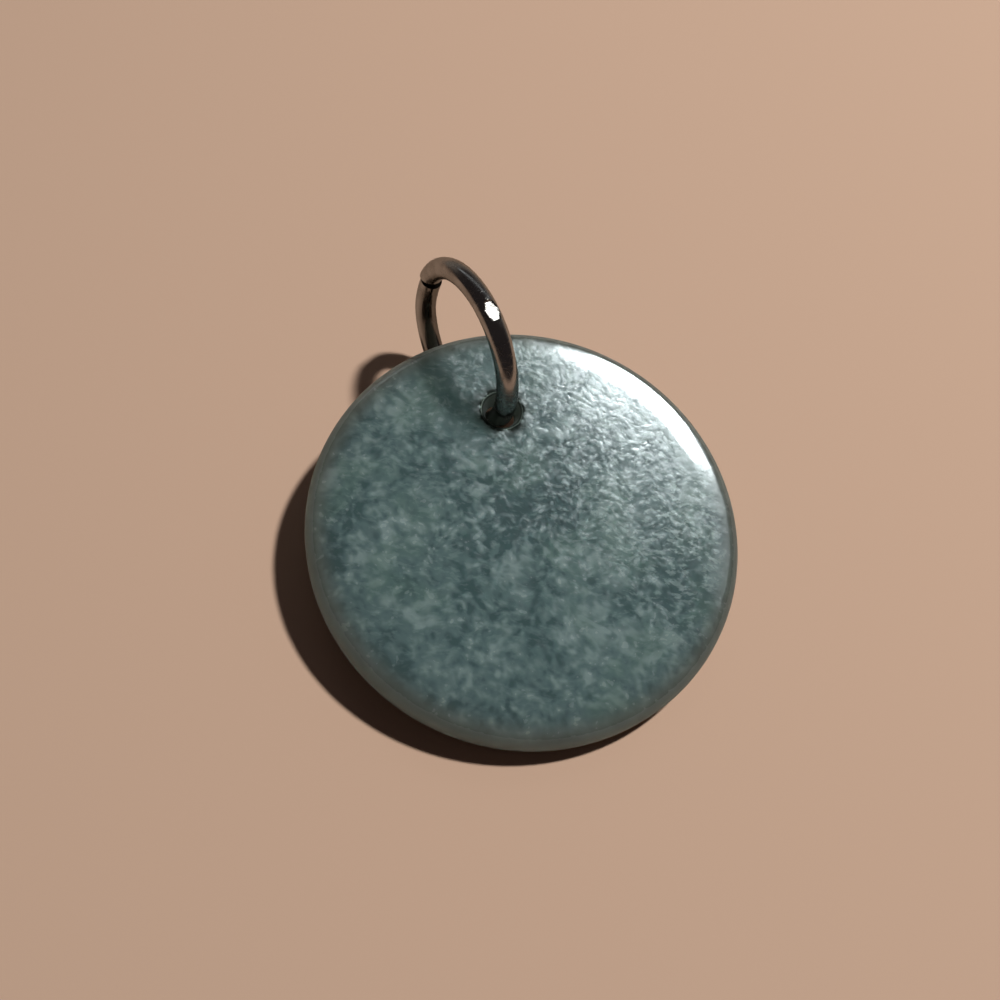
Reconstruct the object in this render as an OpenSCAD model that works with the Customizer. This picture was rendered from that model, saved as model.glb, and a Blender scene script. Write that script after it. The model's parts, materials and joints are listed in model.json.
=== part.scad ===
// Jade disc pendant on a steel jump ring, lying as it rests by itself.
// Millimetres, +Z up, the surface it lies on is z = 0, the ring's side is +Y.
// The ring stands in the drilled hole and props that side of the disc up, and the far rim touches the surface.

/* [Disc] */
// Diameter of the disc
disc_d = 25; // [22:0.5:30]
// Thickness of the disc at its middle
disc_t = 2.1; // [2:0.05:2.3]
// Width of the margin of each face, where the polish falls away to the edge
margin_w = 2; // [1.9:0.05:2.1]
// Radius of the arc that the margin falls along
margin_r = 20; // [18:1:22]
// Radius of the rounding between the margin and the edge
edge_r = 0.8; // [0.7:0.05:0.85]

/* [Hole] */
// Diameter of the drilled hole
hole_d = 2.4; // [2.3:0.05:2.8]
// Distance from the disc's middle to the hole's axis
hole_from_centre = 7.1; // [6.5:0.1:8]
// Depth of the softened edge at each end of the hole
hole_chamfer = 0.2; // [0.1:0.05:0.3]
// Angle between the hole and the side of the disc that is propped up
hole_turn = 9; // [6:0.5:12]

/* [Jump ring] */
// Diameter of the wire
wire_d = 1.3; // [1.1:0.05:1.35]
// Outer diameter of the ring
ring_outer_d = 10.8; // [10.5:0.1:11.5]
// Distance along the disc from the hole's axis to the ring's centre
ring_reach = 4.65; // [4.55:0.05:4.7]
// Height of the ring's centre over the middle of the disc's thickness
ring_rise = 1.1; // [0.8:0.1:1.1]
// Angle between the ring's plane and the line from the disc's middle through the hole
ring_turn = 16.5; // [12:0.5:20]
// Lean of the ring's plane from square to the disc
ring_lean = 5.8; // [3:0.2:6]
// Width of the butt joint between the wire's two ends
cut_gap = 0.4; // [0.1:0.05:0.5]
// Height of the butt joint on the ring's outer side, as an angle over the disc's plane
cut_angle = 8.8; // [0:0.2:40]

/* [Hidden] */
$fn = 128;
jade_grey = [0.32, 0.40, 0.38];
steel_grey = [0.55, 0.53, 0.51];

// Distance of the edge's two roundings from the disc's axis, and from the middle of its thickness
edge_circle_r = disc_d / 2 - edge_r;
edge_half = sqrt(pow(margin_r - edge_r, 2) - pow(margin_w - edge_r, 2)) + disc_t / 2 - margin_r;
// Turn of the disc's seam: half a facet of its mesh, so that the mesh lies on a facet and not on a corner
seam_turn = 5 / 3;
// Where the margin starts, and how far it runs before it meets the rounding
margin_start = disc_d / 2 - margin_w;
margin_run = (margin_w - edge_r) * margin_r / (margin_r - edge_r);
// Overlap that keeps a cut clear of the face that it passes
over = 1;

// Radius of the ring's centre line, and half the angle that the butt joint takes
ring_r = (ring_outer_d - wire_d) / 2;
cut_half = asin(cut_gap / 2 / ring_r);
// Direction of the ring's plane over the disc, and the ring's centre and normal with the disc level
ring_azimuth = 90 - hole_turn + ring_turn;
ring_y = hole_from_centre * cos(hole_turn) + ring_reach * sin(ring_azimuth);
ring_normal_y = cos(ring_azimuth) * cos(ring_lean);
ring_normal_z = sin(ring_lean);

// How far the ring reaches below and behind its centre, along a direction given by its angle from the ring's normal
function ring_drop(along_normal) = ring_r * sqrt(1 - along_normal * along_normal) + wire_d / 2;
// Tilt at which the ring and the far rim are equally low
function tilt_for(drop) =
    asin((drop - edge_r) / norm([ring_y + edge_circle_r, ring_rise + edge_half]))
    - atan2(ring_rise + edge_half, ring_y + edge_circle_r);
function settled_tilt(rounds) = rounds == 0 ? 0 : tilt_for(ring_drop(up_along_normal(settled_tilt(rounds - 1))));
function up_along_normal(tilt) = ring_normal_y * sin(tilt) + ring_normal_z * cos(tilt);
rest_tilt = settled_tilt(6);
// Height of the disc's middle over the surface
rest_height = edge_circle_r * sin(rest_tilt) + edge_half * cos(rest_tilt) + edge_r;
// Reach of the part in front of the disc's middle and behind it, and the middle of the two
front_reach = edge_circle_r * cos(rest_tilt) + edge_half * sin(rest_tilt) + edge_r;
back_along_normal = ring_normal_y * cos(rest_tilt) - ring_normal_z * sin(rest_tilt);
back_reach = ring_y * cos(rest_tilt) - ring_rise * sin(rest_tilt) + ring_drop(back_along_normal);
middle_y = (back_reach - front_reach) / 2;

// From the disc's own level frame to the surface that the pendant lies on
module at_rest() {
    translate([0, -middle_y, rest_height]) rotate([rest_tilt, 0, 0]) children();
}

// From the disc's own frame to the hole's axis, with +Y away from the disc's middle
module at_hole() {
    rotate([0, 0, -hole_turn]) translate([0, hole_from_centre, 0]) children();
}

// Half section of the disc: flat faces, arcs that fall to the edge, and an edge with both corners rounded
module disc_section() {
    translate([0, -disc_t / 2]) square([margin_start, disc_t]);
    intersection() {
        translate([margin_start, -disc_t / 2]) square([margin_run, disc_t]);
        translate([margin_start, disc_t / 2 - margin_r]) circle(r = margin_r);
        translate([margin_start, margin_r - disc_t / 2]) circle(r = margin_r);
    }
    for (side = [-1, 1])
        translate([edge_circle_r, side * edge_half]) circle(r = edge_r);
    translate([edge_circle_r - edge_r, -edge_half]) square([2 * edge_r, 2 * edge_half]);
}

// The drill's path through the disc, opened a little at both faces
module drilled_hole() {
    cylinder(h = disc_t + 2 * over, d = hole_d, center = true);
    for (side = [0, 1])
        mirror([0, 0, side])
            translate([0, 0, disc_t / 2 - hole_chamfer])
                cylinder(h = hole_chamfer + over, d1 = hole_d, d2 = hole_d + 2 * (hole_chamfer + over));
}

// Polished disc with its one drilled hole
module jade_disc() {
    color(jade_grey)
    at_rest()
    difference() {
        rotate([0, 0, seam_turn]) rotate_extrude() disc_section();
        at_hole() drilled_hole();
    }
}

// Round wire bent into an open ring, its butt joint on the side away from the hole
module jump_ring() {
    color(steel_grey)
    at_rest()
    at_hole()
    rotate([0, 0, ring_turn])
    translate([0, ring_reach, ring_rise])
    rotate([0, ring_lean, 0])
    rotate([90, 0, 90])
    rotate([0, 0, cut_angle + cut_half])
    rotate_extrude(angle = 360 - 2 * cut_half)
    translate([ring_r, 0]) circle(d = wire_d);
}

jade_disc();
jump_ring();
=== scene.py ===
import json
import math

import bmesh
import bpy
from mathutils import Matrix, Vector


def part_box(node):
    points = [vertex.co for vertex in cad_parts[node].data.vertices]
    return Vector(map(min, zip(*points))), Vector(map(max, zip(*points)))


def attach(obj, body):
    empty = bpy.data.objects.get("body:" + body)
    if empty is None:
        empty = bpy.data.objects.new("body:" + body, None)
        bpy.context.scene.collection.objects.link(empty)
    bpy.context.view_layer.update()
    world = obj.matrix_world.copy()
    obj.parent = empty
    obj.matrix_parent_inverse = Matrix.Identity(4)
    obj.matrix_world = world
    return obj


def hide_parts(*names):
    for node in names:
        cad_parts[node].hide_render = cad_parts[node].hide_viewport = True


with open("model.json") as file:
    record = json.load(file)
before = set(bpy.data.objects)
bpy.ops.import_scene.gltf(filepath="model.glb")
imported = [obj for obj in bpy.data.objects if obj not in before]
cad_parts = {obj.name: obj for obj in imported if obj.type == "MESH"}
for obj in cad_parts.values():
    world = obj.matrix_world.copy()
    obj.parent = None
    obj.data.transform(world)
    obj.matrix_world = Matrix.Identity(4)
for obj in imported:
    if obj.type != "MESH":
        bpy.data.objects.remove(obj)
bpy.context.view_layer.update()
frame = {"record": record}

mm = 0.001


# Nodes

def place(tree, kind, sockets=None, **settings):
    # one node: its settings, then its sockets, where an output links and anything else is a value
    node = tree.nodes.new(kind)
    for name, value in settings.items():
        setattr(node, name, value)
    for key, value in (sockets or {}).items():
        if isinstance(value, bpy.types.NodeSocket):
            tree.links.new(value, node.inputs[key])
        else:
            node.inputs[key].default_value = value
    return node


def calc(tree, operation, a, b=0.0, clamp=False):
    return place(tree, "ShaderNodeMath", {0: a, 1: b}, operation=operation, use_clamp=clamp).outputs[0]


def plus(tree, a, b, clamp=False):
    return calc(tree, "ADD", a, b, clamp)


def minus(tree, a, b):
    return calc(tree, "SUBTRACT", a, b)


def times(tree, a, b):
    return calc(tree, "MULTIPLY", a, b)


def plusShare(tree, a, b, share):
    return plus(tree, a, times(tree, b, share))


def swing(tree, value, reach):
    # a noise's value as a push to either side, up to half of reach
    return times(tree, minus(tree, value, 0.5), reach)


def vectorCalc(tree, operation, a, b=(0, 0, 0)):
    return place(tree, "ShaderNodeVectorMath", {0: a, 1: b}, operation=operation).outputs[0]


def measured(tree, operation, a, b=(0, 0, 0)):
    # an operation on vectors that gives a number: a length, a distance or a dot product
    return place(tree, "ShaderNodeVectorMath", {0: a, 1: b}, operation=operation).outputs["Value"]


def scaled(tree, vector, factor):
    return place(tree, "ShaderNodeVectorMath", {0: vector, "Scale": factor}, operation="SCALE").outputs[0]


def axesOf(tree, vector):
    return place(tree, "ShaderNodeSeparateXYZ", {0: vector}).outputs


def fade(tree, value, low, high, toLow=0.0, toHigh=1.0):
    # a smooth step from low to high, which holds its end values outside
    sockets = {"Value": value, "From Min": low, "From Max": high, "To Min": toLow, "To Max": toHigh}
    return place(tree, "ShaderNodeMapRange", sockets, interpolation_type="SMOOTHSTEP").outputs[0]


def blendColour(tree, factor, a, b):
    return place(tree, "ShaderNodeMix", {0: factor, 6: a, 7: b}, data_type="RGBA").outputs[2]


def mixValues(tree, factor, a, b):
    return place(tree, "ShaderNodeMix", {0: factor, 2: a, 3: b}, data_type="FLOAT").outputs[0]


def noise(tree, vector, scale, detail, roughness=0.5, distortion=0.0):
    sockets = {"Vector": vector, "Scale": scale, "Detail": detail, "Roughness": roughness,
               "Distortion": distortion}
    return place(tree, "ShaderNodeTexNoise", sockets).outputs[0]


def mapped(tree, vector, turn, stretch, shift=(0, 0, 0)):
    # a pattern's own coordinates, turned about Z in degrees, then stretched and shifted
    turned = place(tree, "ShaderNodeMapping", {"Vector": vector, "Rotation": (0, 0, math.radians(turn))})
    sockets = {"Vector": turned.outputs[0], "Scale": stretch, "Location": shift}
    return place(tree, "ShaderNodeMapping", sockets).outputs[0]


def inMillimetres(tree, middle, tilt=0.0):
    # Object coordinates in millimetres from a piece's middle, in the piece's own level frame
    where = place(tree, "ShaderNodeTexCoord").outputs["Object"]
    sockets = {"Vector": where, "Location": middle, "Rotation": (tilt, 0, 0), "Scale": (mm, mm, mm)}
    return place(tree, "ShaderNodeMapping", sockets, vector_type="TEXTURE").outputs[0]


def newMaterial(name):
    material = bpy.data.materials.new(name)
    material.use_nodes = True
    tree = material.node_tree
    tree.nodes.clear()
    output = tree.nodes.new("ShaderNodeOutputMaterial")
    return material, tree, output


def newGroup(name, inputs, outputs):
    # a shader node group with named sockets; inputs are (name, kind, value) and outputs are numbers
    tree = bpy.data.node_groups.new(name, "ShaderNodeTree")
    for socketName, kind, value in inputs:
        socket = tree.interface.new_socket(socketName, in_out="INPUT", socket_type=kind)
        if value is not None:
            socket.default_value = value
    for socketName in outputs:
        tree.interface.new_socket(socketName, in_out="OUTPUT", socket_type="NodeSocketFloat")
    return tree, tree.nodes.new("NodeGroupInput").outputs, tree.nodes.new("NodeGroupOutput").inputs


# Where the disc and the ring lie, read from the frame

discShape = {
    "thickness": 2.1 * mm,
    "marginWidth": 2.0 * mm,
    "marginArc": 20.0 * mm,
    "edgeRadius": 0.8 * mm,       # of the rounding between a margin and the upright edge
    "holeRadius": 1.2 * mm,
    "holeRounding": 0.18 * mm,    # inside the model's own 0.2 mm bevel
    "drillNarrowing": 0.10 * mm,  # how much smaller the hole's radius is at the top face
    "topRounding": 0.12 * mm,
    "waist": 0.27 * mm,           # the hole was drilled from both sides, so it is narrower halfway down
    "holeFromMiddle": 7.1 * mm,
    "holeTurn": math.radians(9),
    "aroundSteps": 320,
    "faceSteps": 44,
    "marginSteps": 16,
    "edgeSteps": 18,
    "uprightSteps": 4,
    "wallSteps": 14,
    "mouthSteps": 8,
    "waveHeight": 0.012 * mm,     # how far hand polishing leaves the faces from flat
    "waveLength": 4.5 * mm,
}

discLow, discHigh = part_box("jade_disc")
discMiddle = (discLow + discHigh) / 2
discRadius = (discHigh.x - discLow.x) / 2


def edgeHalf(shape):
    # half the height of the upright edge between its two roundings, which are tangent to the margins' arcs
    arc, width, corner = shape["marginArc"], shape["marginWidth"], shape["edgeRadius"]
    return math.sqrt((arc - corner) ** 2 - (width - corner) ** 2) + shape["thickness"] / 2 - arc


def restTilt(shape):
    # the tilt at which the disc's rim is as low as its box says
    half, corner = edgeHalf(shape), shape["edgeRadius"]
    reach = discRadius - corner
    drop = (discHigh.z - discLow.z) / 2 - corner
    return math.asin(drop / math.hypot(reach, half)) - math.atan2(half, reach)


discTilt = restTilt(discShape)
discPlace = Matrix.Translation(discMiddle) @ Matrix.Rotation(discTilt, 4, "X")
discNormal = discPlace.to_3x3() @ Vector((0, 0, 1))
holeTurn = discShape["holeTurn"]
holePlace = Vector((math.sin(holeTurn), math.cos(holeTurn), 0)) * discShape["holeFromMiddle"]

ringEye = next(mount for mount in frame["record"]["mounts"] if mount["name"] == "ring_eye")
ringMiddle = Vector(ringEye["pos_m"])
ringAxis = Vector(ringEye["axis"]).normalized()
wireRadius = ringEye["dims"]["length_mm"] * mm / 2
ringRadius = ringEye["dims"]["r_mm"] * mm + wireRadius
print("frame: disc radius %.2f mm, tilt %.2f degrees" % (discRadius / mm, math.degrees(discTilt)))


# Meshes made by Geometry Nodes

def geometryTree(name, sizes):
    # a Geometry Nodes tree with named inputs
    tree = bpy.data.node_groups.new(name, "GeometryNodeTree")
    tree.is_modifier = True
    tree.interface.new_socket("Geometry", in_out="INPUT", socket_type="NodeSocketGeometry")
    for kind, names in sizes.items():
        for size in names:
            tree.interface.new_socket(size, in_out="INPUT", socket_type="NodeSocket" + kind)
    tree.interface.new_socket("Geometry", in_out="OUTPUT", socket_type="NodeSocketGeometry")
    return tree, tree.nodes.new("NodeGroupInput").outputs, tree.nodes.new("NodeGroupOutput").inputs


def finishTree(tree, mesh, material, out):
    # ends a tree in real, smooth, painted faces
    smooth = place(tree, "GeometryNodeSetShadeSmooth", {"Geometry": mesh})
    real = place(tree, "GeometryNodeRealizeInstances", {"Geometry": smooth.outputs[0]})
    painted = place(tree, "GeometryNodeSetMaterial", {"Geometry": real.outputs[0], "Material": material})
    tree.links.new(painted.outputs[0], out)


def position(tree):
    return place(tree, "GeometryNodeInputPosition").outputs[0]


def moved(tree, mesh, direction, distance):
    push = scaled(tree, direction, distance)
    return place(tree, "GeometryNodeSetPosition", {"Geometry": mesh, "Offset": push}).outputs[0]


def waves(tree, mesh, height, length):
    # low swells along the surface normal, as hand polishing leaves them
    shrunk = scaled(tree, position(tree), calc(tree, "DIVIDE", 1.0, length))
    swell = swing(tree, noise(tree, shrunk, scale=1.0, detail=1.5), height)
    return moved(tree, mesh, place(tree, "GeometryNodeInputNormal").outputs[0], swell)


def bakeTree(piece, tree, values):
    # runs the tree on the piece and keeps its result as a plain mesh
    modifier = piece.modifiers.new(tree.name, "NODES")
    modifier.node_group = tree
    keys = {item.name: item.identifier for item in tree.interface.items_tree if item.in_out == "INPUT"}
    for name, value in values.items():
        modifier[keys[name]] = value
    piece.data.update()
    evaluated = piece.evaluated_get(bpy.context.evaluated_depsgraph_get())
    mesh = bpy.data.meshes.new_from_object(evaluated)
    piece.modifiers.clear()
    piece.data = mesh
    return mesh


def outwardFaces(mesh):
    # merges doubles and turns every face outwards
    work = bmesh.new()
    work.from_mesh(mesh)
    bmesh.ops.remove_doubles(work, verts=work.verts, dist=0.0005 * mm)
    bmesh.ops.recalc_face_normals(work, faces=work.faces)
    work.to_mesh(mesh)
    work.free()


def newPiece(name, points, edges, faces):
    mesh = bpy.data.meshes.new(name)
    mesh.from_pydata(points, edges, faces)
    piece = bpy.data.objects.new(name, mesh)
    bpy.context.scene.collection.objects.link(piece)
    return piece


# Jade disc

def arcPoints(centre, radius, start, end, steps):
    # points along an arc of the section, the last one left out
    turns = [math.radians(start + (end - start) * i / steps) for i in range(steps)]
    return [(centre[0] + radius * math.cos(a), centre[1] + radius * math.sin(a)) for a in turns]


def linePoints(a, b, steps):
    return [(a[0] + (b[0] - a[0]) * i / steps, a[1] + (b[1] - a[1]) * i / steps) for i in range(steps)]


def discSection(shape):
    # the closed half section from the hole's top mouth over the face to the edge, then back underneath
    half, hole, soft = shape["thickness"] / 2, shape["holeRadius"], shape["holeRounding"]
    topHole, topSoft = hole - shape["drillNarrowing"], shape["topRounding"]
    flat, arc, corner = discRadius - shape["marginWidth"], shape["marginArc"], shape["edgeRadius"]
    slope = math.degrees(math.asin((shape["marginWidth"] - corner) / (arc - corner)))
    middle = (discRadius - corner, edgeHalf(shape))
    top = arcPoints((topHole + topSoft, half - topSoft), topSoft, 180, 90, shape["mouthSteps"])
    top += linePoints((topHole + topSoft, half), (flat, half), shape["faceSteps"])
    top += arcPoints((flat, half - arc), arc, 90, 90 - slope, shape["marginSteps"])
    rim = arcPoints(middle, corner, 90 - slope, 0, shape["edgeSteps"])
    rim += linePoints((discRadius, middle[1]), (discRadius, -middle[1]), shape["uprightSteps"])
    rim += arcPoints((middle[0], -middle[1]), corner, 0, slope - 90, shape["edgeSteps"])
    under = arcPoints((flat, arc - half), arc, slope - 90, -90, shape["marginSteps"])
    under += linePoints((flat, -half), (hole + soft, -half), shape["faceSteps"])
    under += arcPoints((hole + soft, soft - half), soft, 270, 180, shape["mouthSteps"])
    wall = linePoints((hole, soft - half), (topHole, half - topSoft), shape["wallSteps"])
    wall = [(r - shape["waist"] * math.sin(math.pi * i / len(wall)), z) for i, (r, z) in enumerate(wall)]
    return top + rim + under + wall


def discTree():
    # sweeps the section round the disc's axis, then draws the hole aside from the middle
    tree, given, out = geometryTree("disc from its section", {
        "Float": ["Sweep Radius", "Flat Radius", "Mouth Radius", "Wave Height", "Wave Length"],
        "Int": ["Around Steps"], "Vector": ["Hole Place"], "Material": ["Material"]})
    section = place(tree, "GeometryNodeMeshToCurve", {"Mesh": given["Geometry"]}).outputs[0]
    path = place(tree, "GeometryNodeCurvePrimitiveCircle",
                 {"Resolution": given["Around Steps"], "Radius": given["Sweep Radius"]}).outputs[0]
    body = place(tree, "GeometryNodeCurveToMesh", {"Curve": path, "Profile Curve": section}).outputs[0]
    axes = axesOf(tree, position(tree))
    squares = [times(tree, axes[i], axes[i]) for i in range(2)]
    radius = calc(tree, "SQRT", plus(tree, squares[0], squares[1]))
    share = place(tree, "ShaderNodeMapRange", {
        "Value": radius, "From Min": given["Flat Radius"], "From Max": given["Mouth Radius"]}).outputs[0]
    drilled = moved(tree, body, given["Hole Place"], share)
    waved = waves(tree, drilled, given["Wave Height"], given["Wave Length"])
    finishTree(tree, waved, given["Material"], out["Geometry"])
    return tree


def makeDisc(shape, material):
    flat = discRadius - shape["marginWidth"]
    mouth = shape["holeRadius"] + shape["holeRounding"]
    sweep = (flat + mouth) / 2
    points = [(r - sweep, -z, 0) for r, z in discSection(shape)]
    edges = [(i, (i + 1) % len(points)) for i in range(len(points))]
    piece = newPiece("polished_disc", points, edges, [])
    mesh = bakeTree(piece, discTree(), {
        "Sweep Radius": sweep, "Flat Radius": flat, "Mouth Radius": mouth, "Hole Place": holePlace,
        "Around Steps": shape["aroundSteps"], "Wave Height": shape["waveHeight"],
        "Wave Length": shape["waveLength"], "Material": material})
    outwardFaces(mesh)
    mesh.transform(discPlace)
    return piece


# Jump ring

ringShape = {
    "jointGap": 0.54 * mm,
    "jointAngle": math.radians(8.1),    # over the disc's plane
    "endStep": 0.18 * mm,               # how far the lower end is bent sideways past the upper one
    "endBend": 0.09,                    # share of the wire that this bend takes
    "endRounding": 0.03 * mm,
    "upperSlant": (-0.45, 0.10),        # how far the cut runs along the wire per unit outwards and sideways
    "lowerSlant": (-0.06, 0.02),
    "slantReach": 1.6 * mm,
    "alongSteps": 960,
    "aroundSteps": 72,
    "sharpAngle": math.radians(50),
    "waveHeight": 0.012 * mm,
    "waveLength": 1.6 * mm,
    # a flat that a tool left on the wire, with a blunt hexagon for its outline
    "flat": {
        "turn": math.radians(101.2),        # where it is along the ring
        "halfLength": math.radians(6.2),    # along the ring, each way
        "point": math.radians(11.4),        # the same, if the hexagon weren't blunt
        "slope": math.radians(24.0) / mm,   # how fast its sides draw in, away from the ring's plane
        "softEdge": math.radians(0.5),
        "facesTurn": math.radians(98.5),
        "facesLean": math.radians(1.4),
        "depth": 0.165 * mm,
    },
}


def pressFlat(tree, mesh, flat):
    # moves the wire's surface back to a plane along a short stretch
    turn, lean = flat["facesTurn"], flat["facesLean"]
    facing = (math.cos(turn) * math.cos(lean), math.sin(turn) * math.cos(lean), math.sin(lean))
    plane = ringRadius * math.cos(lean) + wireRadius - flat["depth"]
    where = position(tree)
    axes = axesOf(tree, where)
    offTurn = minus(tree, calc(tree, "ARCTAN2", axes[1], axes[0]), flat["turn"])
    drawnIn = times(tree, calc(tree, "ABSOLUTE", axes[2]), flat["slope"])
    reach = calc(tree, "MINIMUM", minus(tree, flat["point"], drawnIn), flat["halfLength"])
    outside = minus(tree, calc(tree, "ABSOLUTE", offTurn), reach)
    within = fade(tree, outside, 0.0, flat["softEdge"], 1.0, 0.0)
    height = measured(tree, "DOT_PRODUCT", where, facing)
    over = calc(tree, "MAXIMUM", minus(tree, height, plane), 0.0)
    return moved(tree, mesh, facing, times(tree, times(tree, over, within), -1.0))


def slantEnd(tree, mesh, arcLength, slant, reach):
    # moves the wire's surface along the ring near an end, so that the cut runs aslant
    axes = axesOf(tree, position(tree))
    flat = place(tree, "ShaderNodeCombineXYZ", {"X": axes[0], "Y": axes[1]}).outputs[0]
    outwards = times(tree, minus(tree, measured(tree, "LENGTH", flat), ringRadius), slant[0])
    along = plusShare(tree, outwards, axes[2], slant[1])
    along = times(tree, along, fade(tree, arcLength, 0.0, reach, 1.0, 0.0))
    around = vectorCalc(tree, "NORMALIZE", vectorCalc(tree, "CROSS_PRODUCT", (0, 0, 1), flat))
    return moved(tree, mesh, around, along)


def wireThickness(tree, nearEnd, wire, rounding):
    # the wire narrows along a quarter round at each end
    inset = calc(tree, "MAXIMUM", minus(tree, rounding, nearEnd), 0.0)
    squared = minus(tree, times(tree, rounding, rounding), times(tree, inset, inset))
    drop = minus(tree, rounding, calc(tree, "SQRT", calc(tree, "MAXIMUM", squared, 0.0)))
    return minus(tree, wire, drop)


def ringTree(shape):
    # an open ring of round wire, its lower end bent aside at the joint and both ends a little rounded
    tree, given, out = geometryTree("open ring of wire", {
        "Float": ["Ring Radius", "Wire Radius", "Start", "Sweep", "End Step", "End Bend", "End Rounding",
                  "Wave Height", "Wave Length"],
        "Int": ["Along Steps", "Around Steps"], "Material": ["Material"]})
    arc = place(tree, "GeometryNodeCurveArc", {
        "Resolution": given["Along Steps"], "Radius": given["Ring Radius"], "Start Angle": given["Start"],
        "Sweep Angle": given["Sweep"]}, mode="RADIUS").outputs[0]
    spline = place(tree, "GeometryNodeSplineParameter").outputs
    bend = fade(tree, spline["Factor"], minus(tree, 1.0, given["End Bend"]), 1.0)
    bent = moved(tree, arc, (0, 0, 1), times(tree, bend, given["End Step"]))
    total = times(tree, given["Ring Radius"], given["Sweep"])
    toEnd = calc(tree, "MAXIMUM", minus(tree, total, spline["Length"]), 0.0)
    nearEnd = calc(tree, "MINIMUM", spline["Length"], toEnd)
    radius = wireThickness(tree, nearEnd, given["Wire Radius"], given["End Rounding"])
    stored = place(tree, "GeometryNodeStoreNamedAttribute", {
        "Geometry": bent, "Name": "alongWire", "Value": spline["Length"]}, data_type="FLOAT").outputs[0]
    profile = place(tree, "GeometryNodeCurvePrimitiveCircle",
                    {"Resolution": given["Around Steps"], "Radius": 1.0}).outputs[0]
    wire = place(tree, "GeometryNodeCurveToMesh", {
        "Curve": stored, "Profile Curve": profile, "Scale": radius, "Fill Caps": True}).outputs[0]
    fromStart = place(tree, "GeometryNodeInputNamedAttribute", {"Name": "alongWire"},
                      data_type="FLOAT").outputs[0]
    wire = slantEnd(tree, wire, fromStart, shape["upperSlant"], shape["slantReach"])
    wire = slantEnd(tree, wire, minus(tree, total, fromStart), shape["lowerSlant"], shape["slantReach"])
    waved = waves(tree, wire, given["Wave Height"], given["Wave Length"])
    finishTree(tree, pressFlat(tree, waved, shape["flat"]), given["Material"], out["Geometry"])
    return tree


def makeRing(shape, material):
    outward = ringAxis.cross(discNormal).normalized()
    up = outward.cross(ringAxis)
    gapAngle = 2 * math.asin(shape["jointGap"] / 2 / ringRadius)
    piece = newPiece("wire_ring", [(0, 0, 0)], [], [])
    mesh = bakeTree(piece, ringTree(shape), {
        "Ring Radius": ringRadius, "Wire Radius": wireRadius, "Start": shape["jointAngle"] + gapAngle / 2,
        "Sweep": 2 * math.pi - gapAngle, "End Step": shape["endStep"], "End Bend": shape["endBend"],
        "End Rounding": shape["endRounding"], "Wave Height": shape["waveHeight"],
        "Wave Length": shape["waveLength"], "Along Steps": shape["alongSteps"],
        "Around Steps": shape["aroundSteps"], "Material": material})
    outwardFaces(mesh)
    turn = Matrix((outward, up, outward.cross(up))).transposed()
    mesh.transform(Matrix.Translation(ringMiddle) @ turn.to_4x4())
    mesh.set_sharp_from_angle(angle=shape["sharpAngle"])
    return piece


# Handling marks, for both materials

handlingLook = {
    "scratches": ((23.0, 0.035), (-41.0, 0.03), (78.0, 0.025)),   # turn in degrees, and width in noise values
    "scratchStretch": (0.16, 3.0, 1.0),
    "scratchWaver": 0.3,
    "breakScale": 0.35,                   # of the noise that breaks the scratches off
    "breakFade": (0.5, 0.62),
    "smudges": {"detail": 3.0, "roughness": 0.55, "waver": 0.6, "fade": (0.42, 0.66)},
}


def handlingGroup(look):
    # what handling leaves on a polished surface: fine straight scratches and soft smudges
    group, given, out = newGroup("handling marks", [
        ("Vector", "NodeSocketVector", None), ("Scratch Scale", "NodeSocketFloat", 1.0),
        ("Smudge Scale", "NodeSocketFloat", 0.4)], ["Scratches", "Smudges"])
    lines = None
    for turn, width in look["scratches"]:
        stretched = mapped(group, given["Vector"], turn, look["scratchStretch"])
        sized = scaled(group, stretched, given["Scratch Scale"])
        value = noise(group, sized, 1.0, 1.0, 0.5, look["scratchWaver"])
        line = fade(group, calc(group, "ABSOLUTE", minus(group, value, 0.5)), 0.0, width, 1.0, 0.0)
        broken = fade(group, noise(group, sized, look["breakScale"], 1.0), *look["breakFade"])
        line = times(group, line, broken)
        lines = line if lines is None else calc(group, "MAXIMUM", lines, line)
    group.links.new(lines, out["Scratches"])
    sized = scaled(group, given["Vector"], given["Smudge Scale"])
    row = look["smudges"]
    smudges = noise(group, sized, 1.0, row["detail"], row["roughness"], row["waver"])
    group.links.new(fade(group, smudges, *row["fade"]), out["Smudges"])
    return group


def marksOn(tree, spot, marks, look):
    sockets = {"Vector": spot, "Scratch Scale": look["scratchScale"], "Smudge Scale": look["smudgeScale"]}
    return place(tree, "ShaderNodeGroup", sockets, node_tree=marks).outputs


# Jade

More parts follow.
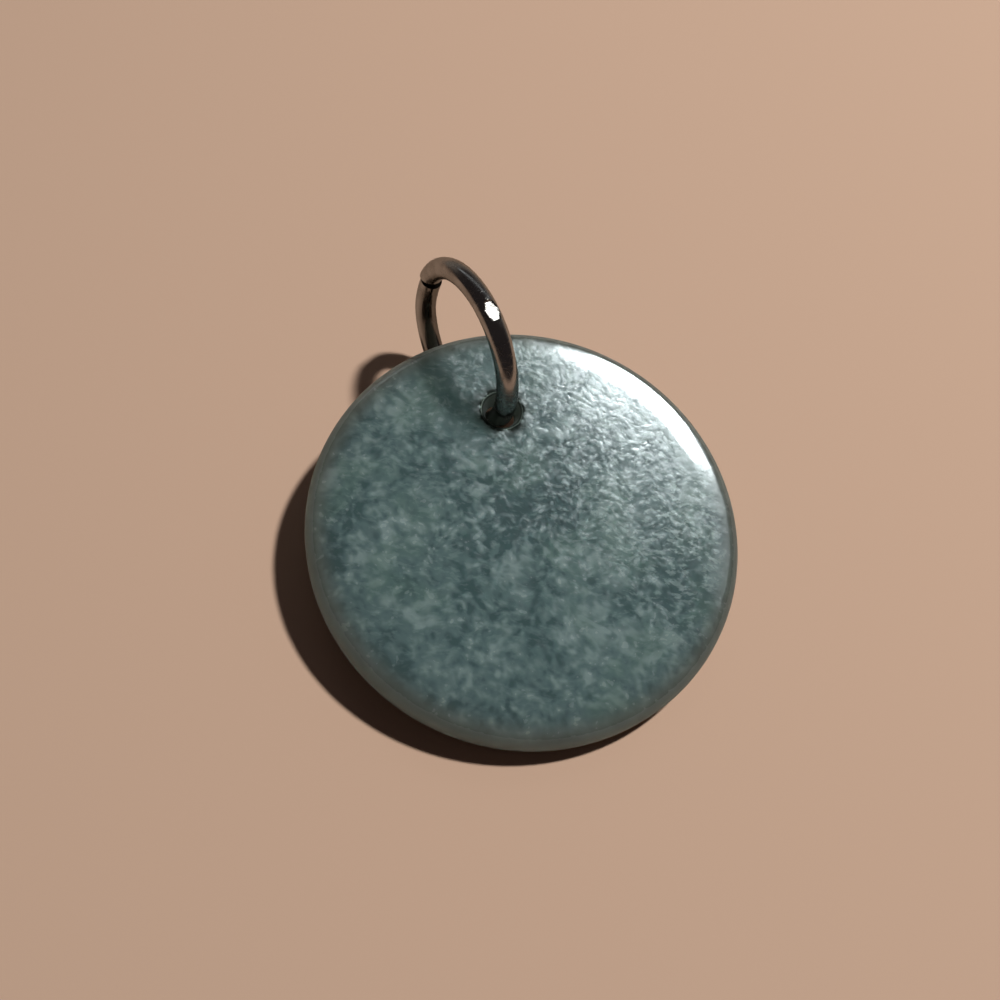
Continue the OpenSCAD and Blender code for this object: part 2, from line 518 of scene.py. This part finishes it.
# a fade is given by the two values between which it runs, in mm where it runs along the disc, and then by
# what it gives at them, where that isn't 0 and 1
jadeLook = {
    "deep": (0.043, 0.079, 0.082, 1),
    "middle": (0.078, 0.127, 0.128, 1),
    "pale": (0.157, 0.220, 0.217, 1),
    "green": (0.069, 0.127, 0.106, 1),
    # the palest flecks of the stone; where they grow towards the right they are also a painted sheen
    "cottonAndSheen": (0.300, 0.395, 0.385, 1),   # the palest flecks, towards the right
    "rim": (0.108, 0.120, 0.102, 1),
    # grime and painted shade: the hole and its mouth are painted dark, partly for the shade that falls in and
    # round them
    "grimeAndShade": (0.024, 0.027, 0.021, 1),
    "lipGrimeAndShade": (0.022, 0.025, 0.021, 1),
    "specular": 0.35,
    "index": 1.62,
    "scatter": (1.0, 1.15, 1.1),
    "scatterDepth": 7.0 * mm,             # light then wanders a few tenths of a millimetre
    # noises, scaled per mm; some have coordinates of their own, turned in degrees, stretched and shifted
    "warp": {"scale": 0.5, "reach": 0.9},
    "clouds": {"scale": 0.28, "detail": 2.0, "roughness": 0.5},
    "blotches": {"scale": 0.9, "detail": 2.0, "roughness": 0.55,
                 "turn": 58.0, "stretch": (0.9, 1.15, 1.0), "shift": (0, 0, 0)},
    "grains": {"scale": 1.7, "detail": 1.5, "roughness": 0.5,
               "turn": 20.0, "stretch": (1, 1, 1), "shift": (5, 2, 1)},
    "strokes": {"scale": 1.3, "detail": 2.0, "roughness": 0.5,
                "turn": 36.0, "stretch": (0.85, 1.2, 1.0), "shift": (7, 3, 1)},
    "fine": {"scale": 2.8, "detail": 1.5, "roughness": 0.5,
             "turn": 30.0, "stretch": (0.95, 1.05, 1.0), "shift": (3, 8, 2)},
    "flecks": {"scale": 2.0, "detail": 2.5, "roughness": 0.6,
               "turn": 31.0, "stretch": (0.85, 1.6, 1.0), "shift": (9, 4, 6)},
    "tint": {"scale": 0.3, "detail": 3.0, "roughness": 0.5},
    "bevelWaver": {"scale": 1.6, "detail": 2.0, "roughness": 0.5, "reach": 0.25},
    # cells, which are added to the grains and to the fine grain
    "grainCells": {"scale": 1.9, "fade": (0.1, 0.65, 0.08, -0.08)},
    "fineCells": {"scale": 3.0, "fade": (0.1, 0.6, 0.10, -0.10)},
    "strokesAcross": (0.0, 8.0, 0.0, 0.6),
    # the tone: what each noise and the patches add to it, and where it turns one colour into the next
    "cloudShare": 0.30,
    "blotchShare": 0.40,
    "reliefShare": 0.30,
    "patchShare": 0.045,
    "patchRagged": 2.6,
    "patchFade": (1.25, 0.35, 0.0),       # from outside an oval's outline, which is at 1, to within it
    "evenPlace": {"x": -0.6, "y": 8.8, "length": 7.2, "width": 8.4, "turn": 20},
    "evenFade": (1.1, 0.5, 0.0, 0.65),
    "evenTone": 0.52,
    "middleTones": (0.40, 0.50),
    "paleTones": (0.49, 0.62),
    "tintFade": (0.52, 0.68, 0.0, 0.4),
    "fleckFade": (0.50, 0.66),
    "flecksLean": 0.25,                   # how much the flecks' growth to the right also follows the way up
    "flecksAcross": (-1.0, 9.0, 0.12, 0.72),
    "flecksUp": (-8.0, -2.0, 0.55, 1.0),
    "flecksToEdge": (10.8, 11.8, 1.0, 0.0),
    "rimFade": (10.9, 12.3, 0.0, 0.85),
    # the hole, by the distance from its axis: grime there, with shade painted in the hole and round its mouth
    "inHoleFade": (1.28, 1.16),
    "holeRagged": 0.5,
    "haloFade": (2.1, 1.2, 0.0, 0.75),
    "grimeAndShadeShare": 0.92,
    "lipFades": ((1.10, 1.16), (1.45, 1.25)),
    "holeRoughness": 0.8,
    # the polish and its relief
    "scratchScale": 1.2,
    "smudgeScale": 0.3,
    "towards": (0.8, 0.6, 0),             # the direction in which the relief grows stronger
    "coarseFade": (-2.0, 7.0, 0.60, 0.85),
    "crispFade": (-2.0, 7.0, 0.40, 0.85),
    "marginRelief": (9.0, 10.6, 1.0, 0.7),
    "scratchHeight": -0.02,
    "reliefDepth": 0.010 * mm,
    "roughShares": (0.45, 0.55),
    "roughFade": (0.38, 0.64, 0.14, 0.27),
    "smudgeRoughness": 0.03,
    "edgeFade": (11.95, 12.20),           # where the polish ends
    "edgeRoughness": 0.55,
    "bevelFade": (10.53, 10.83),          # where the satin face gives way to the glossy margin
    "coatRoughness": 0.07,
}

# paler and darker patches of the stone: ovals in mm on the top face, turned in degrees; the darker ones have
# a strength below 0
jadePatches = [
    {"x": -5.8, "y": 4.2, "length": 2.2, "width": 1.2, "turn": -20, "strength": 0.9},
    {"x": -7.2, "y": 2.9, "length": 2.6, "width": 1.6, "turn": 15, "strength": 0.7},
    {"x": -8.6, "y": 1.0, "length": 2.0, "width": 1.4, "turn": -30, "strength": 0.8},
    {"x": -9.1, "y": -0.4, "length": 1.2, "width": 1.6, "turn": 0, "strength": 0.6},
    {"x": -4.6, "y": -1.1, "length": 2.0, "width": 1.3, "turn": 10, "strength": 0.9},
    {"x": -1.9, "y": -2.6, "length": 1.6, "width": 1.2, "turn": 0, "strength": 0.8},
    {"x": -3.2, "y": 1.2, "length": 1.8, "width": 1.6, "turn": 40, "strength": 0.7},
    {"x": -4.9, "y": -7.4, "length": 0.5, "width": 0.4, "turn": 60, "strength": 1.6},
    {"x": 1.1, "y": -6.6, "length": 1.9, "width": 0.25, "turn": -50, "strength": 1.7},
    {"x": 0.6, "y": -7.2, "length": 2.2, "width": 0.28, "turn": -75, "strength": 1.2},
    {"x": 3.9, "y": -9.5, "length": 1.7, "width": 0.5, "turn": 5, "strength": 1.2},
    {"x": -8.0, "y": -1.2, "length": 9.0, "width": 1.4, "turn": -38, "strength": -0.9},
    {"x": -3.4, "y": -4.4, "length": 4.5, "width": 1.0, "turn": -32, "strength": -0.8},
    {"x": 3.2, "y": -8.6, "length": 3.4, "width": 0.5, "turn": -35, "strength": -0.9},
    {"x": -5.0, "y": -9.8, "length": 2.6, "width": 1.2, "turn": -20, "strength": -0.6},
    {"x": -3.5, "y": -7.5, "length": 17.0, "width": 9.0, "turn": -22, "strength": 0.7},
    {"x": 8.0, "y": -6.0, "length": 8.0, "width": 6.0, "turn": 40, "strength": -2.2},
    {"x": 1.0, "y": 1.5, "length": 8.0, "width": 6.0, "turn": 20, "strength": -2.2},
]
patchHalfDepth = 20.0   # mm, so that a patch reaches through the disc


def warp(tree, vector, scale, reach):
    # pushes the coordinates about by a noise, up to about half of reach
    sockets = {"Vector": vector, "Scale": scale, "Detail": 1.0}
    push = place(tree, "ShaderNodeTexNoise", sockets).outputs["Color"]
    push = vectorCalc(tree, "SUBTRACT", push, (0.5, 0.5, 0.5))
    return vectorCalc(tree, "ADD", vector, scaled(tree, push, reach))


def layer(tree, vector, row):
    # one noise of the stone
    if "turn" in row:
        vector = mapped(tree, vector, row["turn"], row["stretch"], row["shift"])
    return noise(tree, vector, row["scale"], row["detail"], row["roughness"])


def cells(tree, vector, row):
    # what the distance from the nearest cell's middle adds to a grain
    sockets = {"Vector": vector, "Scale": row["scale"]}
    distance = place(tree, "ShaderNodeTexVoronoi", sockets, feature="F1").outputs["Distance"]
    return fade(tree, distance, *row["fade"])


def fromOval(tree, spot, oval):
    # the distance from an oval's middle, which is 1 on its outline
    sockets = {"Vector": spot, "Location": (oval["x"], oval["y"], 0),
               "Rotation": (0, 0, math.radians(oval["turn"])),
               "Scale": (oval["length"] / 2, oval["width"] / 2, patchHalfDepth)}
    inOval = place(tree, "ShaderNodeMapping", sockets, vector_type="TEXTURE").outputs[0]
    return measured(tree, "LENGTH", inOval)


def patchSum(tree, spot, patches, ragged, outline):
    # each patch is an oval whose edge a noise makes ragged
    total = None
    for patch in patches:
        off = plus(tree, fromOval(tree, spot, patch), ragged)
        mask = fade(tree, off, *outline, patch["strength"])
        total = mask if total is None else plus(tree, total, mask)
    return total


def stoneTone(tree, spot, flow, grains, relief, look):
    # how pale the stone is, apart from its flecks
    tone = times(tree, layer(tree, flow, look["clouds"]), look["cloudShare"])
    tone = plusShare(tree, tone, layer(tree, flow, look["blotches"]), look["blotchShare"])
    tone = plusShare(tree, tone, relief, look["reliefShare"])
    ragged = swing(tree, grains, look["patchRagged"])
    patches = patchSum(tree, spot, jadePatches, ragged, look["patchFade"])
    tone = plusShare(tree, tone, patches, look["patchShare"])
    # the stone is more even beside the hole
    even = fade(tree, fromOval(tree, spot, look["evenPlace"]), *look["evenFade"])
    return mixValues(tree, even, tone, look["evenTone"])


def stoneColour(tree, flow, axes, fromMiddle, tone, look):
    body = blendColour(tree, fade(tree, tone, *look["middleTones"]), look["deep"], look["middle"])
    body = blendColour(tree, fade(tree, tone, *look["paleTones"]), body, look["pale"])
    tint = fade(tree, layer(tree, flow, look["tint"]), *look["tintFade"])
    body = blendColour(tree, tint, body, look["green"])
    # cottony flecks, drawn out along the strokes, that grow towards the right, the lit side, where they are
    # partly a painted sheen
    flecks = fade(tree, layer(tree, flow, look["flecks"]), *look["fleckFade"])
    rightward = plusShare(tree, axes[0], axes[1], look["flecksLean"])
    flecks = times(tree, flecks, fade(tree, rightward, *look["flecksAcross"]))
    flecks = times(tree, flecks, fade(tree, axes[1], *look["flecksUp"]))
    flecks = times(tree, flecks, fade(tree, fromMiddle, *look["flecksToEdge"]))
    body = blendColour(tree, flecks, body, look["cottonAndSheen"])
    return blendColour(tree, fade(tree, fromMiddle, *look["rimFade"]), body, look["rim"])


def holeGrimeAndShade(tree, flat, grains, body, look):
    # grime and painted shade in the drilled hole and round its mouth
    fromAxis = measured(tree, "DISTANCE", flat, tuple(holePlace / mm))
    fromHole = plus(tree, fromAxis, swing(tree, grains, look["holeRagged"]))
    inHole = fade(tree, fromAxis, *look["inHoleFade"])
    grimeAndShade = plus(tree, inHole, fade(tree, fromHole, *look["haloFade"]), clamp=True)
    body = blendColour(tree, times(tree, grimeAndShade, look["grimeAndShadeShare"]), body, look["grimeAndShade"])
    # the hole's lip is a dark metal to the shader, so that its gloss stays as dark as the grime and painted
    # shade on it
    start, end = look["lipFades"]
    lip = times(tree, fade(tree, fromAxis, *start), fade(tree, fromHole, *end))
    return blendColour(tree, lip, body, look["lipGrimeAndShade"]), inHole, lip


def stoneFinish(tree, spot, fromMiddle, relief, fine, inHole, marksHere, look):
    # the roughness, the relief that polishing leaves between hard and soft grains, and the coat on the margin
    coarseShare, fineShare = look["roughShares"]
    rough = plusShare(tree, times(tree, relief, coarseShare), fine, fineShare)
    rough = fade(tree, rough, *look["roughFade"])
    rough = plusShare(tree, rough, marksHere["Smudges"], look["smudgeRoughness"])
    rough = mixValues(tree, inHole, rough, look["holeRoughness"])
    edge = fade(tree, fromMiddle, *look["edgeFade"])
    rough = mixValues(tree, edge, rough, look["edgeRoughness"])
    towards = measured(tree, "DOT_PRODUCT", spot, look["towards"])
    coarse = times(tree, relief, fade(tree, towards, *look["coarseFade"]))
    crisp = times(tree, fine, fade(tree, towards, *look["crispFade"]))
    height = times(tree, plus(tree, coarse, crisp), fade(tree, fromMiddle, *look["marginRelief"]))
    height = plusShare(tree, height, marksHere["Scratches"], look["scratchHeight"])
    bump = place(tree, "ShaderNodeBump", {
        "Height": height, "Strength": 1.0, "Distance": look["reliefDepth"]}).outputs[0]
    waver = swing(tree, layer(tree, spot, look["bevelWaver"]), look["bevelWaver"]["reach"])
    gloss = fade(tree, plus(tree, fromMiddle, waver), *look["bevelFade"])
    return rough, bump, times(tree, gloss, minus(tree, 1.0, edge))


def jadeMaterial(look, marks):
    material, tree, output = newMaterial("mottled jade")
    spot = inMillimetres(tree, discMiddle, discTilt)
    axes = axesOf(tree, spot)
    flat = vectorCalc(tree, "MULTIPLY", spot, (1, 1, 0))
    fromMiddle = measured(tree, "LENGTH", flat)
    # grains of about half a mm, drawn into strokes towards the right, and a fine grain
    flow = warp(tree, spot, look["warp"]["scale"], look["warp"]["reach"])
    grains = plus(tree, layer(tree, flow, look["grains"]), cells(tree, flow, look["grainCells"]))
    across = fade(tree, axes[0], *look["strokesAcross"])
    relief = mixValues(tree, across, grains, layer(tree, flow, look["strokes"]))
    fine = plus(tree, layer(tree, flow, look["fine"]), cells(tree, flow, look["fineCells"]))
    tone = stoneTone(tree, spot, flow, grains, relief, look)
    body = stoneColour(tree, flow, axes, fromMiddle, tone, look)
    body, inHole, lip = holeGrimeAndShade(tree, flat, grains, body, look)
    marksHere = marksOn(tree, spot, marks, look)
    rough, bump, gloss = stoneFinish(tree, spot, fromMiddle, relief, fine, inHole, marksHere, look)
    stone = place(tree, "ShaderNodeBsdfPrincipled", {
        "Base Color": body, "Metallic": lip, "Roughness": rough, "Normal": bump, "IOR": look["index"],
        "Specular IOR Level": look["specular"], "Subsurface Weight": 1.0,
        "Subsurface Radius": look["scatter"], "Subsurface Scale": look["scatterDepth"],
        "Coat Weight": gloss, "Coat Roughness": look["coatRoughness"], "Coat IOR": look["index"]})
    stone.subsurface_method = "BURLEY"
    tree.links.new(stone.outputs[0], output.inputs["Surface"])
    return material


# Steel

steelLook = {
    "bright": (0.37, 0.366, 0.354, 1),
    "dull": (0.26, 0.248, 0.232, 1),
    "dullShare": 0.6,
    # a painted shade for the wire's inner side
    "innerShade": (0.12, 0.110, 0.098, 1),
    "innerShadeFade": (-0.05, -0.45, 0.0, 0.8),   # mm outwards from the wire's middle line
    # the cut ends' dark colour is a painted shade
    "cut": (0.035, 0.028, 0.024, 1),
    "cutRoughness": 0.75,
    "cutDepth": 0.05 * mm,                     # how far along the wire the cut's dull metal reaches
    "edgeTint": (0.55, 0.54, 0.52, 1),
    "roughness": (0.15, 0.26),
    "scratchScale": 2.5,
    "smudgeScale": 0.7,
    "scratchRoughness": 0.10,
    "scratchDepth": 0.0015 * mm,
}


def steelMaterial(look, marks):
    material, tree, output = newMaterial("polished steel wire")
    spot = inMillimetres(tree, ringMiddle)
    marksHere = marksOn(tree, spot, marks, look)
    # the two cut ends are dull, and their dark colour is a painted shade from the joint's narrow gap
    along = place(tree, "ShaderNodeAttribute", attribute_name="alongWire").outputs["Fac"]
    length = 2 * math.pi * ringRadius - ringShape["jointGap"]
    toEnd = calc(tree, "MINIMUM", along, minus(tree, length, along))
    cut = fade(tree, toEnd, 0.0, look["cutDepth"], 1.0, 0.0)
    # the side of the wire that faces the ring's middle is painted darker, a painted shade that dims what it
    # mirrors
    axis = tuple(ringAxis)
    sideways = scaled(tree, axis, measured(tree, "DOT_PRODUCT", spot, axis))
    radial = measured(tree, "DISTANCE", spot, sideways)
    outer, inner, none, full = look["innerShadeFade"]
    innerShade = fade(tree, radial, ringRadius / mm + outer, ringRadius / mm + inner, none, full)
    dull = times(tree, marksHere["Smudges"], look["dullShare"])
    colour = blendColour(tree, dull, look["bright"], look["dull"])
    colour = blendColour(tree, innerShade, colour, look["innerShade"])
    colour = blendColour(tree, cut, colour, look["cut"])
    rough = fade(tree, marksHere["Smudges"], 0.0, 1.0, *look["roughness"])
    rough = plusShare(tree, rough, marksHere["Scratches"], look["scratchRoughness"])
    rough = mixValues(tree, cut, rough, look["cutRoughness"])
    bump = place(tree, "ShaderNodeBump", {
        "Height": times(tree, marksHere["Scratches"], -1.0), "Strength": 1.0,
        "Distance": look["scratchDepth"]}).outputs[0]
    steel = place(tree, "ShaderNodeBsdfPrincipled", {
        "Base Color": colour, "Metallic": 1.0, "Roughness": rough, "Normal": bump,
        "Specular Tint": look["edgeTint"]})
    tree.links.new(steel.outputs[0], output.inputs["Surface"])
    return material


# Stage: a plain pale floor, one soft key light, what the gloss mirrors, and the room's glow

studio = {
    "floorSide": 1.6,
    "floorColour": (0.585, 0.400, 0.295, 1),
    "floorRoughness": 0.85,
    "floorSpecular": 0.2,
    "keyDirection": (0.53, 0.19, 0.83),
    "keyDistance": 0.5,
    "zenith": (0.062, 0.050, 0.050, 1),
    "horizon": (0.50, 0.42, 0.36, 1),     # the far side's glow
    "streak": (1.05, 1.10, 1.15, 1),      # a cool window high up on that side
    "farSide": (0.50, 0.86, 0.10),
    "glow": 0.55,
    # fades along the far side's direction and up
    "horizonAcross": (0.2, 0.7),
    "horizonUp": (0.55, 0.10),
    "streakAcross": ((0.66, 0.71), (0.80, 0.74)),
    "streakUp": (0.35, 0.50),
}

# the flat lights' parts: a strength and an outline, in degrees from the key direction, sideways and up
lights = {
    # lights the whole scene, and shows in no gloss
    "key": {"colour": (1.0, 0.99, 0.965, 1), "parts": [
        (650.0, [(-6.6, 1.6), (-4.5, 0.9), (-2.4, 1.6), (-2.4, 4.6), (-4.5, 5.3), (-6.6, 4.6)])]},
    # what the disc's polish mirrors: a strip in three lengths, the glow under it and the glow beside it
    "strip": {"colour": (0.90, 1.0, 1.02, 1), "parts": [
        (29.0, [(-6.2, -0.4), (-5.2, -3.0), (3.5, -2.6), (3.5, 4.4), (-1.0, 4.8), (-3.1, 3.5), (-4.4, 1.6)]),
        (185.0, [(3.5, -2.6), (7.0, -1.4), (9.0, 1.2), (9.0, 4.2), (3.5, 4.4)]),
        (60.0, [(9.0, 1.2), (10.6, 2.4), (11.2, 3.4), (10.4, 4.1), (9.0, 4.2)]),
        (30.0, [(-2.0, -3.2), (-1.0, -14.0), (5.0, -17.0), (12.0, -16.0), (16.0, -13.0), (12.0, -3.0),
                (9.3, 0.8), (7.2, -1.7), (3.5, -2.9)]),
        (0.8, [(-4.7, 1.7), (-6.6, -0.5), (-7.2, -4.0), (-16.0, -3.0), (-17.0, 7.0), (-9.0, 9.0),
               (-5.0, 6.5), (-3.5, 3.7)])]},
    # what the ring's flat mirrors
    "glint": {"colour": (1.0, 1.0, 0.97, 1), "parts": [
        (42.0, [(-7.3, -1.6), (-5.0, -2.6), (-1.8, -2.2), (-1.2, 1.2), (-3.0, 3.2), (-6.6, 2.6)])]},
}


def makeFloor(look):
    half = look["floorSide"] / 2
    corners = [(-half, -half, 0), (half, -half, 0), (half, half, 0), (-half, half, 0)]
    floor = newPiece("floor", corners, [], [(0, 1, 2, 3)])
    material, tree, output = newMaterial("pale matt floor")
    paint = place(tree, "ShaderNodeBsdfPrincipled", {
        "Base Color": look["floorColour"], "Roughness": look["floorRoughness"],
        "Specular IOR Level": look["floorSpecular"]})
    tree.links.new(paint.outputs[0], output.inputs["Surface"])
    floor.data.materials.append(material)


def glowMaterial(name, colour, strength):
    material, tree, output = newMaterial(name)
    glow = place(tree, "ShaderNodeEmission", {"Color": colour, "Strength": strength})
    tree.links.new(glow.outputs[0], output.inputs["Surface"])
    return material


def makeLight(look, name):
    # flat emitters on a plane square to the key direction, one material for each part
    direction = Vector(look["keyDirection"]).normalized()
    aside = Vector((0, 0, 1)).cross(direction).normalized()
    above = direction.cross(aside)
    middle = discMiddle + direction * look["keyDistance"]
    points, faces, glows = [], [], []
    for strength, corners in lights[name]["parts"]:
        faces.append([len(points) + i for i in range(len(corners))])
        for u, v in corners:
            offset = math.tan(math.radians(u)) * aside + math.tan(math.radians(v)) * above
            points.append(middle + look["keyDistance"] * offset)
        glows.append(glowMaterial("%s light %d" % (name, len(faces)), lights[name]["colour"], strength))
    light = newPiece(name + "_light", points, [], faces)
    for i, material in enumerate(glows):
        light.data.materials.append(material)
        light.data.polygons[i].material_index = i
    light.visible_camera = False
    return light


def glossOnly(light, piece):
    # the light is then seen only in this piece's gloss, and casts no shadow
    lit = bpy.data.collections.new(light.name + "_lights")
    lit.objects.link(piece)
    light.light_linking.receiver_collection = lit
    light.visible_diffuse = False
    light.visible_shadow = False


def makeWorld(look):
    world = bpy.data.worlds.new("studio")
    bpy.context.scene.world = world
    world.use_nodes = True
    tree = world.node_tree
    tree.nodes.clear()
    direction = place(tree, "ShaderNodeTexCoord").outputs["Generated"]
    height = axesOf(tree, direction)[2]
    facing = tuple(Vector(look["farSide"]).normalized())
    towards = measured(tree, "DOT_PRODUCT", direction, facing)
    far = times(tree, fade(tree, towards, *look["horizonAcross"]), fade(tree, height, *look["horizonUp"]))
    colour = blendColour(tree, far, look["zenith"], look["horizon"])
    start, end = look["streakAcross"]
    window = times(tree, fade(tree, towards, *start), fade(tree, towards, *end))
    window = times(tree, window, fade(tree, height, *look["streakUp"]))
    colour = blendColour(tree, window, colour, look["streak"])
    background = place(tree, "ShaderNodeBackground", {"Color": colour, "Strength": look["glow"]})
    output = tree.nodes.new("ShaderNodeOutputWorld")
    tree.links.new(background.outputs[0], output.inputs["Surface"])


photoView = {
    "position": (-15.98, -24.06, 53.31),   # mm
    "target": (0.09, 1.36, 0.0),           # where the middle of the view meets the floor, in mm
    "roll": 11.05,                         # degrees
    "lens": 36.0,
    "sensor": 36.0,
    "nearest": 1 * mm,
}


def makeCamera(look):
    data = bpy.data.cameras.new("photo_view")
    data.lens = look["lens"]
    data.sensor_width = look["sensor"]
    data.clip_start = look["nearest"]
    camera = bpy.data.objects.new("photo_view", data)
    bpy.context.scene.collection.objects.link(camera)
    eye, target = Vector(look["position"]) * mm, Vector(look["target"]) * mm
    aim = (target - eye).to_track_quat("-Z", "Y").to_matrix().to_4x4()
    roll = Matrix.Rotation(math.radians(look["roll"]), 4, "Z")
    camera.matrix_world = Matrix.Translation(eye) @ aim @ roll
    bpy.context.scene.camera = camera


makeCamera(photoView)
makeFloor(studio)
makeLight(studio, "key").visible_glossy = False
strip = makeLight(studio, "strip")
glint = makeLight(studio, "glint")
makeWorld(studio)
bpy.context.scene.view_settings.view_transform = "Standard"
print("stage: camera, floor and light are in place")

handling = handlingGroup(handlingLook)
disc = makeDisc(discShape, jadeMaterial(jadeLook, handling))
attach(disc, "root")
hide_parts("jade_disc")
print("disc:", len(disc.data.polygons), "faces")

ring = makeRing(ringShape, steelMaterial(steelLook, handling))
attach(ring, "root")
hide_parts("jump_ring")
print("ring:", len(ring.data.polygons), "faces")
glossOnly(strip, disc)
glossOnly(glint, ring)
